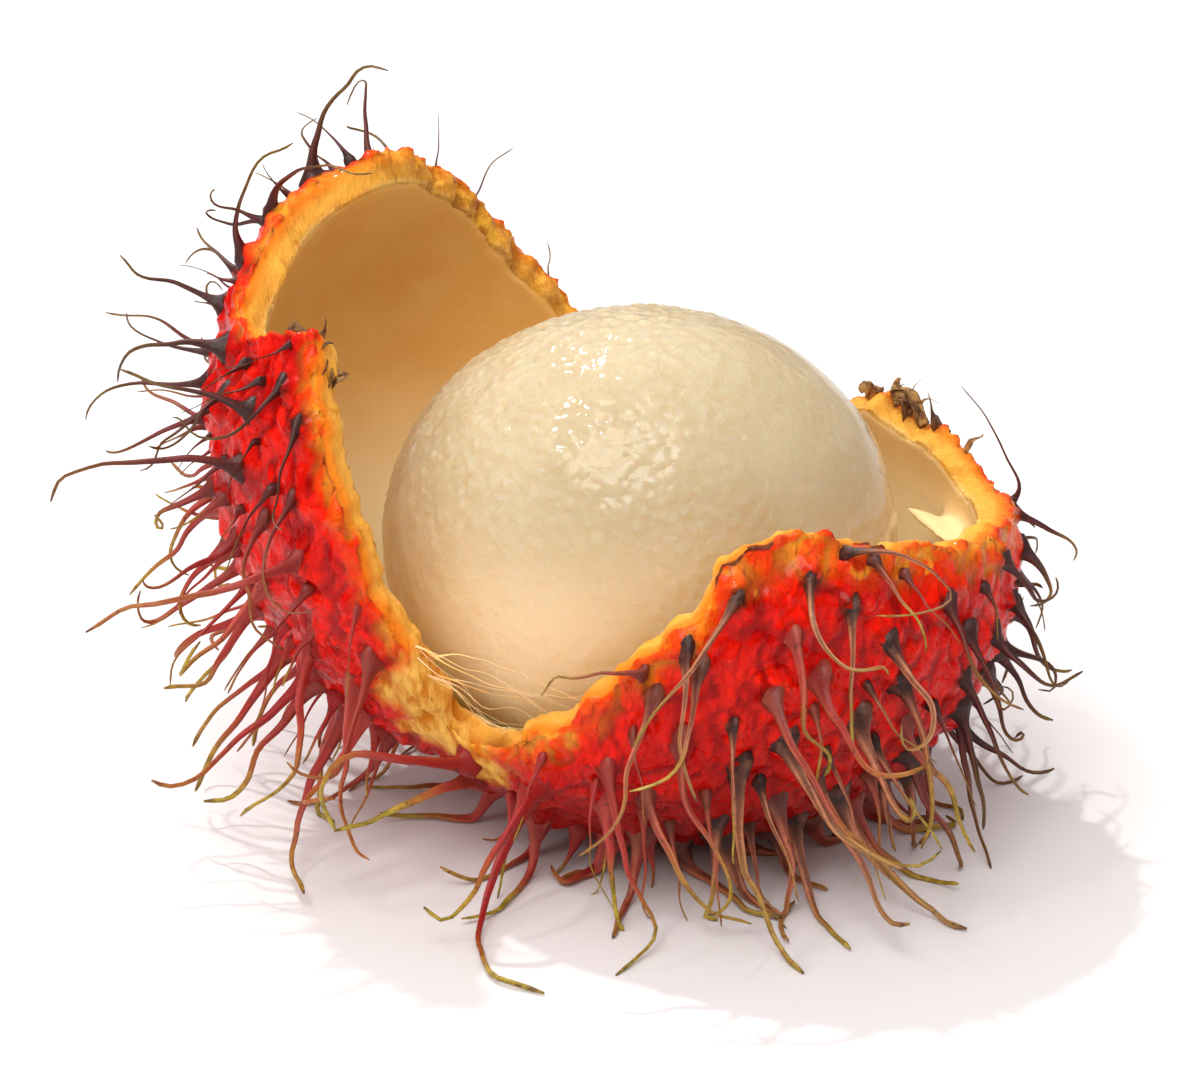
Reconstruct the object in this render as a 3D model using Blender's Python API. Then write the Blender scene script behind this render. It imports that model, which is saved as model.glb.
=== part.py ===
"""A rambutan torn open round its middle: one rind in two hinged lobes, with the whole aril between them.

The rind is one piece. The cup is its lower lobe, resting on a small flat spot. The lid is its upper lobe,
swung open to the left on the strip of peel that was never torn. Walls, torn rims and spines are fused into
one body. The aril, the pale flesh round the seed, is a second body that lies loose in the rind.

Lobes are ellipsoids. A place on one is given by two angles: psi, from the lobe's deepest point towards
its mouth, and theta, round it. The origin is the middle of the flat spot, with +Z up and -Y the open side.
"""

import math
import random

import bpy
import numpy as np

MM = 0.001

# Driving dimensions, in millimetres.
RIND_THICKNESS = 2.8
CUP_CENTRE = (0.0, 0.0, 17.5)
CUP_SEMI_AXES = (21.6, 18.5, 18.2)
CUP_POLE = (0.05, 0.0, -1.0)
CUP_THETA_ZERO = (1.0, 0.0, 0.0)
LID_CENTRE = (-13.2, 3.0, 23.4)
LID_SEMI_AXES = (20.8, 17.5, 16.3)
LID_POLE = (-0.76, 0.50, -0.42)
LID_THETA_ZERO = (0.0, 0.0, 1.0)
ARIL_CENTRE = (-2.7, 0.3, 18.9)
ARIL_SEMI_AXES = (16.5, 14.0, 15.0)
ARIL_CLEARANCE = 0.4

# The torn rims, as (theta, psi) in degrees. From 150 to 262 on the cup, and from 112 to 214 on the lid, the
# peel was never torn: there each wall runs on until it meets the other one at the hinge.
CUP_RIM = (
    (0, 98), (30, 103), (48, 109), (67, 117), (82, 113), (89, 102), (97, 95), (106, 85), (116, 75),
    (131, 69), (150, 68), (205, 68), (250, 70), (264, 82), (278, 97), (296, 101), (314, 110), (330, 104),
    (345, 98),
)
LID_RIM = (
    (4, 90), (19, 89), (32, 85.5), (57, 82.5), (72, 86.5), (95, 87), (108, 80), (122, 66), (165, 64),
    (200, 70), (214, 87), (236, 96), (253, 98), (286, 100), (307, 100), (312, 78), (318, 73), (345, 77),
)
FIRST_RING_PSI = 19.0
TEAR_AMPLITUDE = 0.9
TEAR_WAVES = (11, 17, 29)

# Spines. Each keeps the share SPINE_RADII of its root radius at SPINE_STATIONS along it.
SEED = 20
CUP_SPINES = 212
LID_SPINES = 178
ROOT_RADIUS = 0.8
SPINE_SIDES = 3
SPINE_STATIONS = (0.0, 0.14, 0.36, 0.6, 0.82, 1.0)
SPINE_RADII = (1.0, 0.58, 0.45, 0.34, 0.26, 0.13)
ROOT_DEPTH = 1.1
ROOT_SPACING = 2.6
GOLDEN_ANGLE = 137.508
FLOOR_GAP = 0.15
SURFACE_GAP = 0.25
RESTING_REACH = 0.7
RESTING_GAP = 0.02

# The long stragglers: theta and psi of the root, the size of the root, and bends measured from the root.
LID_STRAGGLERS = (
    (356, 78, 1.1, ((0.0, 0.0, 2.5), (1.0, 0.0, 5.0), (3.0, -1.0, 7.5), (5.0, -2.0, 8.0))),
    (345, 72, 1.0, ((0.5, -0.5, 2.5), (3.5, -3.0, 4.5), (6.0, -4.5, 3.0), (7.0, -5.0, 3.0))),
    (334, 68, 0.9, ((-0.5, 0.0, 3.0), (1.0, 1.0, 6.0), (3.0, 2.0, 7.0))),
    (328, 58, 0.9, ((-3.5, 0.0, 1.5), (-5.5, 0.0, 2.0), (-6.5, 0.0, 3.5))),
    (311, 69, 1.0, ((-3.0, 0.0, 0.5), (-6.0, 1.0, -0.5), (-7.0, 2.0, -3.0))),
    (296, 80, 1.0, ((-3.0, -1.0, 1.5), (-5.5, -1.0, 2.0), (-8.0, -1.0, 3.0))),
    (287, 72, 1.1, ((-3.0, -1.0, 1.0), (-7.0, -2.0, 1.0), (-10.5, -2.0, 0.5), (-11.5, -2.0, -1.5))),
    (268, 83, 1.1, ((-3.0, -3.0, 0.0), (-8.0, -4.0, -1.0), (-10.5, -4.0, -1.5), (-13.0, -4.0, -3.0))),
    (258, 52, 1.0, ((-2.0, -1.0, -2.5), (-3.5, -1.0, -5.0), (-6.0, -1.0, -5.5))),
    (245, 52, 1.1, ((-2.5, -2.0, -3.0), (-5.0, -2.0, -6.5), (-6.0, -2.0, -9.0))),
    (237, 56, 1.1, ((-3.5, -2.0, -4.0), (-5.0, -2.0, -7.0), (-7.0, -2.0, -7.5))),
    (228, 60, 1.1, ((-2.5, -2.0, -4.5), (-3.5, -5.5, -7.5), (-2.5, -10.0, -8.0))),
)
CUP_STRAGGLERS = (
    (141, 56, 1.2, ((-3.0, -4.0, 0.5), (-6.0, -5.0, -0.5), (-8.5, -6.0, -1.0))),
    (138, 62, 1.2, ((-4.0, -4.0, 2.0), (-7.0, -5.0, 3.0), (-9.0, -5.0, 0.5), (-8.0, -5.0, -2.5))),
    (119, 61, 1.5, ((-2.0, -4.0, -0.5), (-4.5, -6.0, -4.5), (-6.0, -6.0, -6.5), (-7.5, -6.0, -5.5))),
    (126, 54, 1.4, ((-2.0, -3.0, -3.0), (-3.0, -6.5, -6.0), (-2.5, -12.0, -6.0), (1.0, -14.5, -6.0))),
    (105, 68, 1.1, ((1.5, -3.0, -5.5), (3.0, -4.0, -9.0), (0.5, -7.5, -10.0))),
    (99, 60, 1.1, ((2.0, -3.0, -3.5), (4.0, -3.0, -6.5), (6.5, -3.0, -7.5))),
    (76, 84, 1.0, ((1.5, -3.0, -2.5), (5.0, -4.0, -7.5), (8.0, -4.0, -9.5), (10.5, -4.0, -8.5))),
    (52, 81, 1.0, ((1.5, -2.0, -3.0), (2.0, -3.0, -7.0), (1.5, -3.0, -10.0))),
    (20, 58, 1.0, ((0.5, -1.0, -3.5), (1.5, -1.0, -7.0), (2.0, -4.0, -8.5))),
    (12, 72, 1.0, ((3.0, 0.0, -1.0), (3.5, 0.0, -3.0), (2.5, 0.0, -3.0))),
    (81, 105, 1.0, ((-2.0, -3.0, -2.0), (-4.5, -4.0, -5.0), (-6.5, -4.0, -8.0))),
)

# The tongue of pith that stands out from the cup's inner wall, from root to tip.
TONGUE_LINE = ((19.4, 2.0, 16.6), (18.0, 3.2, 17.4), (16.4, 4.6, 17.9), (14.6, 6.0, 18.6))
TONGUE_RADII = (2.0, 1.5, 1.0, 0.35)


def unit(vector):
    vector = np.asarray(vector, float)
    return vector / np.linalg.norm(vector)


def smooth_step(x):
    x = min(max(x, 0.0), 1.0)
    return x * x * (3 - 2 * x)


class Lobe:
    """An ellipsoidal lobe of the rind, open where psi passes its torn rim."""

    def __init__(self, centre, semi_axes, pole, theta_zero, rim):
        self.centre = np.array(centre, float)
        self.semi_axes = np.array(semi_axes, float)
        self.rim_stops = rim
        third = unit(pole)
        first = unit(np.array(theta_zero) - np.dot(theta_zero, third) * third)
        self.turn = np.column_stack([first, np.cross(third, first), third])

    def point(self, theta, psi, depth=0.0):
        theta, psi = math.radians(theta), math.radians(psi)
        sphere = (math.sin(psi) * math.cos(theta), math.sin(psi) * math.sin(theta), math.cos(psi))
        return self.centre + self.turn @ (np.array(sphere) * (self.semi_axes - depth))

    def normal(self, point):
        local = (point - self.centre) @ self.turn
        return unit(self.turn @ (local / self.semi_axes**2))

    def fill(self, point):
        """Under 1 inside the lobe's outer ellipsoid, over 1 outside it."""
        return np.linalg.norm((point - self.centre) @ self.turn / self.semi_axes)

    def rim(self, theta):
        """The torn edge's psi: eased between the stops, with small teeth."""
        theta %= 360
        stops = [*self.rim_stops, (self.rim_stops[0][0] + 360, self.rim_stops[0][1])]
        if theta < stops[0][0]:
            theta += 360
        for (start, low), (end, high) in zip(stops, stops[1:]):
            if start <= theta <= end:
                base = low + (high - low) * smooth_step((theta - start) / (end - start))
        teeth = sum(math.sin(math.radians(n * theta) + 1.7 * n) for n in TEAR_WAVES)
        return base + TEAR_AMPLITUDE * teeth / 2


CUP = Lobe(CUP_CENTRE, CUP_SEMI_AXES, CUP_POLE, CUP_THETA_ZERO, CUP_RIM)
LID = Lobe(LID_CENTRE, LID_SEMI_AXES, LID_POLE, LID_THETA_ZERO, LID_RIM)
ARIL = Lobe(ARIL_CENTRE, ARIL_SEMI_AXES, (0, 0, -1), (1, 0, 0), ((0, 180),))


def new_material(name, colour, roughness):
    material = bpy.data.materials.new(name)
    material.use_nodes = True
    shader = material.node_tree.nodes["Principled BSDF"]
    shader.inputs["Base Color"].default_value = (*colour, 1)
    shader.inputs["Roughness"].default_value = roughness
    shader.inputs["Metallic"].default_value = 0
    return material


def new_object(name, points_mm, faces, collection=None):
    mesh = bpy.data.meshes.new(name)
    mesh.from_pydata([tuple(MM * np.asarray(p)) for p in points_mm], [], faces)
    mesh.validate()
    obj = bpy.data.objects.new(name, mesh)
    (collection or bpy.context.scene.collection).objects.link(obj)
    return obj


def dome(lobe, columns, rows, rim):
    """Points and faces of the lobe's surface from its pole to rim(theta), which a caller closes."""
    points = [lobe.point(0, 0)]
    for row in range(rows):
        for column in range(columns):
            theta = 360 * column / columns
            psi = FIRST_RING_PSI + (rim(theta) - FIRST_RING_PSI) * row / (rows - 1)
            points.append(lobe.point(theta, psi))
    faces = []
    for column in range(columns):
        after = (column + 1) % columns
        faces.append((0, 1 + column, 1 + after))
        for row in range(rows - 1):
            near, far = 1 + row * columns, 1 + (row + 1) * columns
            faces.append((near + column, far + column, far + after, near + after))
    return points, faces


def bowl(name, lobe, columns, rows):
    """A lobe as a filled bowl: its dome, and the torn face running in from the rim to the centre."""
    points, faces = dome(lobe, columns, rows, lobe.rim)
    first = 1 + (rows - 1) * columns
    inner = len(points)
    points += [lobe.centre + 0.7 * (points[first + column] - lobe.centre) for column in range(columns)]
    points.append(lobe.centre)
    for column in range(columns):
        after = (column + 1) % columns
        faces.append((first + column, inner + column, inner + after, first + after))
        faces.append((inner + column, inner + columns, inner + after))
    return new_object(name, points, faces)


def ellipsoid(name, lobe, grow, columns, rows):
    """The lobe's whole ellipsoid, larger by grow all round."""
    larger = Lobe(lobe.centre, lobe.semi_axes + grow, lobe.turn[:, 2], lobe.turn[:, 0], lobe.rim_stops)
    points, faces = dome(larger, columns, rows, lambda theta: 180 - FIRST_RING_PSI)
    first = 1 + (rows - 1) * columns
    points.append(larger.point(0, 180))
    for column in range(columns):
        faces.append((first + column, len(points) - 1, first + (column + 1) % columns))
    return new_object(name, points, faces)


def below_floor(name):
    """A block whose top is the floor, which cuts the cup's belly to its flat spot."""
    points = [(x, y, z) for z in (-5, 0) for x, y in ((-30, -30), (30, -30), (30, 30), (-30, 30))]
    faces = [(3, 2, 1, 0), (4, 5, 6, 7), (0, 1, 5, 4), (1, 2, 6, 5), (2, 3, 7, 6), (3, 0, 4, 7)]
    return new_object(name, points, faces)


def face_outwards(obj):
    """Turns the faces to point outwards where the solid's signed volume is negative."""
    mesh = obj.data
    mesh.calc_loop_triangles()
    corners = [[mesh.vertices[v].co for v in t.vertices] for t in mesh.loop_triangles]
    if sum(a.dot(b.cross(c)) for a, b, c in corners) < 0:
        mesh.flip_normals()


def combine(target, other, operation, solver="MANIFOLD"):
    """Applies one Boolean to target and removes the other solid, or the other collection's solids."""
    modifier = target.modifiers.new(operation, "BOOLEAN")
    modifier.operation = operation
    modifier.solver = solver
    if isinstance(other, bpy.types.Collection):
        modifier.operand_type = "COLLECTION"
        modifier.collection = other
        used = list(other.objects)
    else:
        modifier.object = other
        used = [other]
    graph = bpy.context.evaluated_depsgraph_get()
    mesh = bpy.data.meshes.new_from_object(target.evaluated_get(graph))
    target.modifiers.clear()
    target.data = mesh
    for obj in used:
        bpy.data.objects.remove(obj)


def push_out(point, lobe, gap):
    """Moves a point that lies in the lobe's ellipsoid out to gap above its surface."""
    reach = 1 + gap / lobe.semi_axes.mean()
    fill = lobe.fill(point)
    return point if fill > reach else lobe.centre + (point - lobe.centre) * reach / fill


def clear_point(point, radius, lobes):
    """Holds a point of a spine's centre line off the lobes' surfaces and above the floor."""
    for lobe in lobes:
        point = push_out(point, lobe, radius + SURFACE_GAP)
    return np.array((point[0], point[1], max(point[2], radius + FLOOR_GAP)))


def ruled_line(root, normal, length, lean, droop, curl_axis, bend, radius):
    """The centre line of a spine that leaves along the normal, sways, droops, and hooks over at its tip."""
    line = [root - ROOT_DEPTH * normal]
    heading = unit(normal + lean)
    here = root.copy()
    steps = 40
    stations = [round(s * steps) for s in SPINE_STATIONS[1:]]
    for step in range(1, steps + 1):
        along = step / steps
        turn = bend["curve"] + bend["sway"] * math.sin(7 * along)
        turn += bend["hook"] * smooth_step((along - 0.6) / 0.25)
        heading = unit(heading + turn / steps * np.cross(curl_axis, heading) - (0, 0, droop * along / steps))
        if step == bend["kink_step"]:
            heading = unit(heading + bend["kink"] * np.cross(normal, heading))
        here = here + heading * length / steps
        here = clear_point(here, radius, (CUP, LID, ARIL) if along > 0.15 else (ARIL,))
        if step in stations:
            line.append(here.copy())
    return line


def straggler_line(root, normal, bends, radius):
    """The centre line of a straggler: a smooth curve through its root and its bends."""
    knots = [root - 2 * normal, root, *(root + np.array(bend) for bend in bends)]
    knots.append(2 * knots[-1] - knots[-2])
    line = [root - ROOT_DEPTH * normal]
    for station in SPINE_STATIONS[1:]:
        place = station * len(bends)
        knot = min(int(place), len(bends) - 1)
        t = place - knot
        a, b, c, d = knots[knot:knot + 4]
        here = b + (c - a) * t / 2
        here = here + (2 * a - 5 * b + 4 * c - d) * t**2 / 2 + (3 * b - a - 3 * c + d) * t**3 / 2
        line.append(clear_point(here, radius, (CUP, LID, ARIL) if station > 0.15 else (ARIL,)))
    return line


def rest_on_floor(points):
    """Bends a spine that nearly reaches the floor down from its root, until it rests on the floor."""
    drop = min(point[2] for point in points) - RESTING_GAP
    if drop < RESTING_REACH:
        for index, point in enumerate(points):
            point[2] -= drop * min(1.0, index // SPINE_SIDES / 2)


def tapered_tube(name, line, radii, collection):
    """A tapered tube of a few flat sides along the line, closed at both ends."""
    points, faces = [], []
    side = np.array((0.3, 0.5, 0.8))
    for index, (here, radius) in enumerate(zip(line, radii)):
        ahead = unit(line[min(index + 1, len(line) - 1)] - line[max(index - 1, 0)])
        side = unit(side - np.dot(side, ahead) * ahead)
        other = np.cross(ahead, side)
        for corner in range(SPINE_SIDES):
            angle = 2 * math.pi * corner / SPINE_SIDES
            points.append(here + radius * (math.cos(angle) * side + math.sin(angle) * other))
    rest_on_floor(points)
    for ring in range(len(line) - 1):
        for corner in range(SPINE_SIDES):
            after = (corner + 1) % SPINE_SIDES
            low, high = ring * SPINE_SIDES, (ring + 1) * SPINE_SIDES
            faces.append((low + corner, low + after, high + after, high + corner))
    faces.append(tuple(reversed(range(SPINE_SIDES))))
    faces.append(tuple(range(len(points) - SPINE_SIDES, len(points))))
    obj = new_object(name, points, faces, collection)
    face_outwards(obj)
    return obj


def spine_roots(lobe, other, count, taken, draw):
    """Roots spread evenly over a lobe by a golden-angle spiral, a little disturbed.

    A root is left out near the torn rim, the hinge, the flat spot and a straggler."""
    for index in range(count):
        height = 1 - (1 + math.cos(math.radians(62))) * (index + 0.5) / count
        psi = math.degrees(math.acos(height)) + draw.uniform(-2.5, 2.5)
        theta = index * GOLDEN_ANGLE + draw.uniform(-4, 4)
        root = lobe.point(theta, psi)
        spaced = all(np.linalg.norm(root - place) > ROOT_SPACING for place in taken)
        if psi < lobe.rim(theta) - 4 and other.fill(root) > 1.06 and root[2] > 0.9 and spaced:
            yield root


def grow_spines(lobe, other, count, stragglers, draw, collection):
    """Grows the stragglers, then the rest by where each stands.

    Spines are short and curled high on the lid, long and hanging on the lid's underside and the cup's front,
    and short and hooked over at the cup's far right."""
    roots = []
    for theta, psi, size, bends in stragglers:
        root = lobe.point(theta, min(psi, lobe.rim(theta) - 3.5))
        roots.append(root)
        radii = [size * ROOT_RADIUS * radius for radius in SPINE_RADII]
        line = straggler_line(root, lobe.normal(root), bends, radii[2])
        tapered_tube(f"spine_{len(collection.objects)}", line, radii, collection)
    for root in spine_roots(lobe, other, count, roots, draw):
        normal = lobe.normal(root)
        low = 1 - smooth_step((root[2] - 5) / 24)
        front = max(0.0, -normal[1])
        right = smooth_step((root[0] - 8) / 12)
        length = (draw.uniform(6.0, 9.5) + 4.0 * low + 2.0 * front) * (1 - 0.32 * right)
        size = ROOT_RADIUS * draw.uniform(0.85, 1.15) * (0.72 + 0.5 * low)
        sideways = unit(np.cross(normal, (0.1, 0.2, 1)))
        lean = 0.45 * draw.uniform(-1, 1) * sideways
        lean = lean - np.array((0, 0, (0.2 + 0.9 * front + 0.35 * right) * smooth_step((root[2] - 2) / 5)))
        axis = unit(sideways + 1.1 * draw.uniform(-1, 1) * normal)
        side = draw.choice((-1, 1))
        bend = {
            "curve": side * draw.uniform(0.0, 0.6),
            "sway": draw.uniform(-2.4, 2.4),
            "hook": side * draw.uniform(1.5, 9.0),
            "kink": draw.choice((0, 0, 0.8, -0.8)),
            "kink_step": draw.randrange(14, 28),
        }
        droop = 0.4 + 1.6 * front + 1.2 * right
        radii = [size * radius for radius in SPINE_RADII]
        line = ruled_line(root, normal, length, lean, droop, axis, bend, radii[2])
        tapered_tube(f"spine_{len(collection.objects)}", line, radii, collection)


def build_rind():
    rind = bowl("rind", CUP, 58, 9)
    lid = bowl("lid", LID, 58, 9)
    hollows = [
        ellipsoid("cup_hollow", CUP, -RIND_THICKNESS, 30, 12),
        ellipsoid("lid_hollow", LID, -RIND_THICKNESS, 30, 12),
        ellipsoid("aril_room", ARIL, ARIL_CLEARANCE, 30, 15),
        below_floor("floor"),
    ]
    for obj in (rind, lid, *hollows):
        face_outwards(obj)
    combine(rind, lid, "UNION")
    for hollow in hollows:
        combine(rind, hollow, "DIFFERENCE")
    draw = random.Random(SEED)
    spines = bpy.data.collections.new("spines")
    bpy.context.scene.collection.children.link(spines)
    grow_spines(CUP, LID, CUP_SPINES, CUP_STRAGGLERS, draw, spines)
    grow_spines(LID, CUP, LID_SPINES, LID_STRAGGLERS, draw, spines)
    print("spines:", len(spines.objects))
    tapered_tube("tongue", [np.array(p) for p in TONGUE_LINE], TONGUE_RADII, spines)
    combine(rind, spines, "UNION")
    bpy.data.collections.remove(spines)
    return rind


def build_aril():
    aril = ellipsoid("aril", ARIL, 0.0, 44, 21)
    face_outwards(aril)
    return aril


def main():
    for obj in list(bpy.data.objects):
        bpy.data.objects.remove(obj)
    rind = build_rind()
    aril = build_aril()
    rind.data.materials.clear()
    rind.data.materials.append(new_material("rind_skin", (0.62, 0.03, 0.02), 0.35))
    aril.data.materials.append(new_material("aril_flesh", (0.86, 0.76, 0.60), 0.2))
    for obj in (rind, aril):
        obj.data.shade_smooth()
        obj.data.set_sharp_from_angle(angle=math.radians(35))


main()
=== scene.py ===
import math
import random

import bmesh
import bpy
import numpy as np
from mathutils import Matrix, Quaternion, Vector, kdtree


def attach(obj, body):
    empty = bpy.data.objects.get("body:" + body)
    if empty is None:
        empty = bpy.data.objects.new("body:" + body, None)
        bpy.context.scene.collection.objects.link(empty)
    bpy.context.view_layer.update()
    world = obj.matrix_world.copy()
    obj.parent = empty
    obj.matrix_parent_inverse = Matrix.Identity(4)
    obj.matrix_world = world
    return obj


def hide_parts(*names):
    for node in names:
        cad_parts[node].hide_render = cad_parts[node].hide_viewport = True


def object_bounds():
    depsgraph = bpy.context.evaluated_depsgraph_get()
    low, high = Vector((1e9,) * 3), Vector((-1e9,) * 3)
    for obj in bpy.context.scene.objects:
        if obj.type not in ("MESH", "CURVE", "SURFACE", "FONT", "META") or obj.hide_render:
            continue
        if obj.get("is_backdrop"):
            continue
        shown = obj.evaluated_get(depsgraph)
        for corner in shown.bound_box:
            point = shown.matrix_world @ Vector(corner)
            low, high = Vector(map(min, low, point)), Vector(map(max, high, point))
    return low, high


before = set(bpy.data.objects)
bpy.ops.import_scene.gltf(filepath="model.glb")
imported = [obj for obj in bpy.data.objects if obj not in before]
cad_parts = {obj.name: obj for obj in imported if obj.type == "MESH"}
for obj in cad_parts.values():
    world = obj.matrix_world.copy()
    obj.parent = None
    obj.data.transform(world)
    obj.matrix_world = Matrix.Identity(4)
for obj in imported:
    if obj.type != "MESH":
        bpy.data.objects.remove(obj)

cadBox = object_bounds()
mm = 0.001


# lets sums on shader sockets read as plain sums
class Sum:
    def __init__(self, shade, socket):
        self.shade = shade
        self.socket = socket

    def maths(self, operation, *others):
        return self.shade.add("ShaderNodeMath", {"operation": operation}, dict(enumerate((self, *others))))

    def __add__(self, other):
        return self.maths("ADD", other)

    def __sub__(self, other):
        return self.maths("SUBTRACT", other)

    def __mul__(self, other):
        return self.maths("MULTIPLY", other)

    def __rsub__(self, other):
        return self.shade.add("ShaderNodeMath", {"operation": "SUBTRACT"}, {0: other, 1: self})

    __radd__ = __add__
    __rmul__ = __mul__

    def ramp(self, low, high):
        values = {"Value": self, "From Min": low, "From Max": high}
        return self.shade.add("ShaderNodeMapRange", {"interpolation_type": "SMOOTHSTEP"}, values)


# the nodes of one material, or of the sky
class Shade:
    def __init__(self, owner):
        self.owner = owner
        owner.use_nodes = True
        self.tree = owner.node_tree
        self.tree.nodes.clear()
        self.place = self.add("ShaderNodeTexCoord", output="Object")

    def add(self, kind, settings=None, values=None, output=0):
        node = self.tree.nodes.new(kind)
        for key, value in (settings or {}).items():
            setattr(node, key, value)
        for key, value in (values or {}).items():
            if isinstance(value, Sum):
                self.tree.links.new(value.socket, node.inputs[key])
            else:
                node.inputs[key].default_value = value
        return Sum(self, node.outputs[output]) if node.outputs else None

    def stored(self, name):
        return self.add("ShaderNodeAttribute", {"attribute_name": name}, output="Fac")

    def stretched(self, stretch, wander=0.0):
        # where a texture is looked up: longer along the axes that stretch makes small, and wavy by wander
        place = self.add("ShaderNodeVectorMath", {"operation": "MULTIPLY"}, {0: self.place, 1: stretch})
        if wander:
            drift = self.add("ShaderNodeTexNoise", None, {"Vector": place, "Scale": 1 / (1.5 * mm)}, "Color")
            factor = (wander * mm,) * 3
            drift = self.add("ShaderNodeVectorMath", {"operation": "MULTIPLY"}, {0: drift, 1: factor})
            place = self.add("ShaderNodeVectorMath", {"operation": "ADD"}, {0: place, 1: drift})
        return place

    def noise(self, size, detail=3.0, roughness=0.5, stretch=(1, 1, 1)):
        place = self.stretched(stretch)
        values = {"Vector": place, "Scale": 1 / (size * mm), "Detail": detail, "Roughness": roughness}
        return self.add("ShaderNodeTexNoise", None, values, "Fac")

    def cells(self, size, feature="F1", stretch=(1, 1, 1), wander=0.0):
        values = {"Vector": self.stretched(stretch, wander), "Scale": 1 / (size * mm)}
        return self.add("ShaderNodeTexVoronoi", {"feature": feature}, values, "Distance")

    def mix(self, first, second, factor):
        first, second = (value if isinstance(value, Sum) else (*value, 1) for value in (first, second))
        return self.add("ShaderNodeMix", {"data_type": "RGBA"}, {0: factor, 6: first, 7: second}, 2)

    def bump(self, height, distance, strength=1.0, under=None):
        values = {"Height": height, "Distance": distance * mm, "Strength": strength}
        if under:
            values["Normal"] = under
        return self.add("ShaderNodeBump", None, values)

    def finish(self, values):
        surface = self.add("ShaderNodeBsdfPrincipled", {"subsurface_method": "RANDOM_WALK"}, values)
        self.add("ShaderNodeOutputMaterial", None, {"Surface": surface})
        return self.owner


def newShade(name):
    return Shade(bpy.data.materials.new(name))


def unit(vector):
    vector = np.asarray(vector, float)
    return vector / np.linalg.norm(vector)


def smoothStep(x):
    x = np.clip(x, 0.0, 1.0)
    return x * x * (3 - 2 * x)


def scatter(cells, salt):
    # a repeatable random number from 0 to 1 for each whole-number cell
    cells = cells.astype(np.int64)
    mixed = cells[..., 0] * 73856093 ^ cells[..., 1] * 19349663 ^ cells[..., 2] * 83492791 ^ salt * 2654435761
    mixed = (mixed ^ (mixed >> 13)) * 1274126177 & 0x7FFFFFFF
    return ((mixed ^ (mixed >> 16)) & 0xFFFFF) / 0xFFFFF


def softNoise(points, size, salt):
    # smooth value noise, from -1 to 1
    places = points / size
    cells = np.floor(places)
    share = smoothStep(places - cells)
    total = np.zeros(len(points))
    for corner in np.ndindex(2, 2, 2):
        weight = np.prod(np.where(corner, share, 1 - share), axis=1)
        total += weight * scatter(cells + corner, salt)
    return 2 * total - 1


def softPush(points, size, salt):
    # three soft noises side by side, to push points about
    return np.stack([softNoise(points, size, salt + k) for k in range(3)], axis=1)


def cellGaps(points, size, salt):
    # distances to the nearest and second nearest of points strewn one to a cell, in cells
    places = points / size
    cells = np.floor(places)
    near = np.full(len(points), 9.0)
    second = near.copy()
    for corner in np.ndindex(3, 3, 3):
        cell = cells + corner - 1
        seed = cell + np.stack([scatter(cell, salt + k) for k in range(3)], axis=1)
        gap = np.linalg.norm(seed - places, axis=1)
        second = np.minimum(second, np.maximum(near, gap))
        near = np.minimum(near, gap)
    return near, second


# the two lobes of the rind and the aril, in millimetres; rims are pairs of an angle and how far the wall goes
rindShape = {
    "thickness": 2.8,
    "cup": {
        "centre": (0.0, 0.0, 17.5), "semiAxes": (21.6, 18.5, 18.2), "pole": (0.05, 0, -1), "up": (1, 0, 0),
    },
    "lid": {
        "centre": (-13.2, 3.0, 23.4), "semiAxes": (20.8, 17.5, 16.3), "pole": (-0.76, 0.50, -0.42),
        "up": (0, 0, 1),
    },
    "cupRim": (
        (0, 98), (30, 103), (48, 109), (67, 117), (82, 113), (89, 102), (97, 95), (106, 85), (116, 75),
        (131, 69), (150, 68), (205, 68), (250, 70), (264, 82), (278, 97), (296, 101), (314, 110), (330, 104),
        (345, 98),
    ),
    "lidRim": (
        (4, 90), (19, 89), (32, 85.5), (57, 82.5), (72, 86.5), (95, 87), (108, 80), (122, 66), (165, 64),
        (200, 70), (214, 87), (236, 96), (253, 98), (286, 100), (307, 100), (312, 78), (318, 73), (345, 77),
    ),
    "tearWaves": (11, 17, 29),
    "tearHeight": 0.9,
    "frayWaves": ((1, 47), (1.3, 71), (1.6, 103)),
    "fray": 0.45,
    "firstRing": 19.0,
    "columns": 300,
    "rows": 60,
    "voxel": 0.34,
}
arilShape = {
    "centre": (-2.7, 0.3, 18.9), "semiAxes": (16.5, 14.0, 15.0), "pole": (0, 0, -1), "up": (1, 0, 0),
    "room": 0.4, "fineness": 7,
}


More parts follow.
